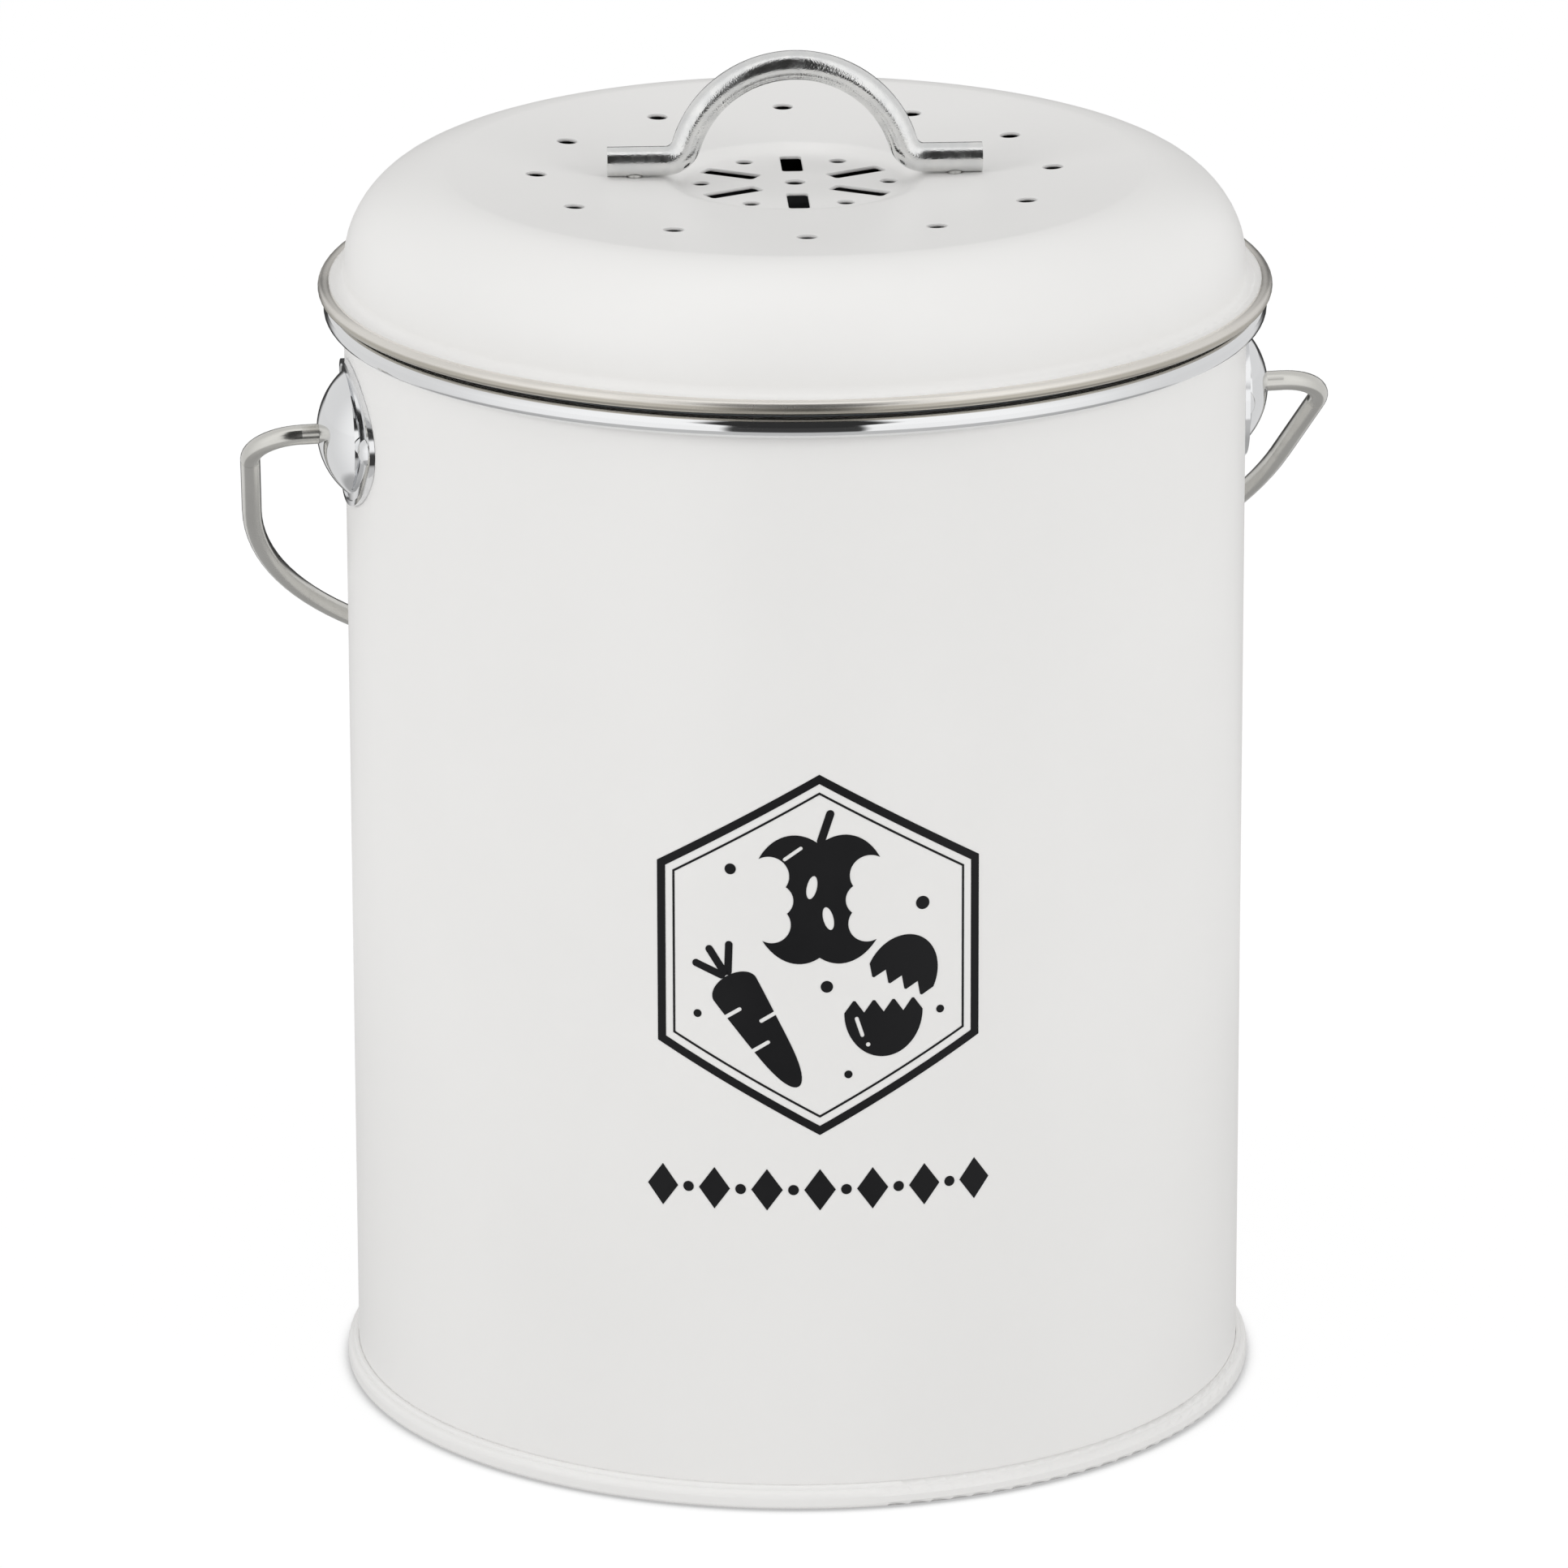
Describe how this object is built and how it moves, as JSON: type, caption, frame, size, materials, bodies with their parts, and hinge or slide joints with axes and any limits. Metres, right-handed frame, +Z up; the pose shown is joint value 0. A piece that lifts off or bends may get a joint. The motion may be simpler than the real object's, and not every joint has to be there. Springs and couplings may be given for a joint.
{
  "type": "compost caddy",
  "caption": "Round lidded kitchen compost caddy: steel bucket with bail, vented lift-off lid with rod handle and charcoal filter, removable inner bucket.",
  "frame": {"origin": "on the table at the centre of the round base", "axes": "+Z up; X along the bail's pins through both ears; -Y is the front, where the print is"},
  "size_m": [0.2222, 0.1902, 0.2739],
  "materials": {
    "white_paint": "satin powder coat, warm white",
    "bright_trim": "polished steel",
    "wire_steel": "satin stainless wire",
    "rod_zinc": "bright zinc-plated rod",
    "fastener_steel": "plain bright steel",
    "liner_plastic": "moulded grey polypropylene",
    "holder_plastic": "moulded black polypropylene",
    "charcoal_felt": "charcoal-filled felt",
    "gasket_rubber": "dark silicone"
  },
  "bodies": {
    "bucket": {"body_shell": "white_paint", "base_panel": "white_paint", "rim_band": "bright_trim", "ear_left": "bright_trim", "ear_right": "bright_trim", "rivet_left_front": "bright_trim", "rivet_left_back": "bright_trim", "rivet_right_front": "bright_trim", "rivet_right_back": "bright_trim"},
    "bail": {"bail": "wire_steel"},
    "inner_bucket": {"inner_bucket": "liner_plastic"},
    "lid": {"lid_shell": "white_paint", "lid_trim": "bright_trim", "lid_handle": "rod_zinc", "handle_screw_left": "fastener_steel", "handle_screw_right": "fastener_steel", "handle_washer_left": "fastener_steel", "handle_washer_right": "fastener_steel", "filter_holder": "holder_plastic", "filter_pad": "charcoal_felt", "lid_gasket": "gasket_rubber"}
  },
  "joints": [
    {"name": "bail_swing", "type": "hinge", "parent": "bucket", "child": "bail", "pos_m": [0, 0, 0.2005], "axis": [1, 0, 0], "range_deg": [0, 261]},
    {"name": "inner_bucket_lift", "type": "slide", "parent": "bucket", "child": "inner_bucket", "axis": [0, 0, 1], "range_m": [0, 0.225]},
    {"name": "lid_lift", "type": "slide", "parent": "inner_bucket", "child": "lid", "axis": [0, 0, 1], "range_m": [0, 0.2]}
  ]
}
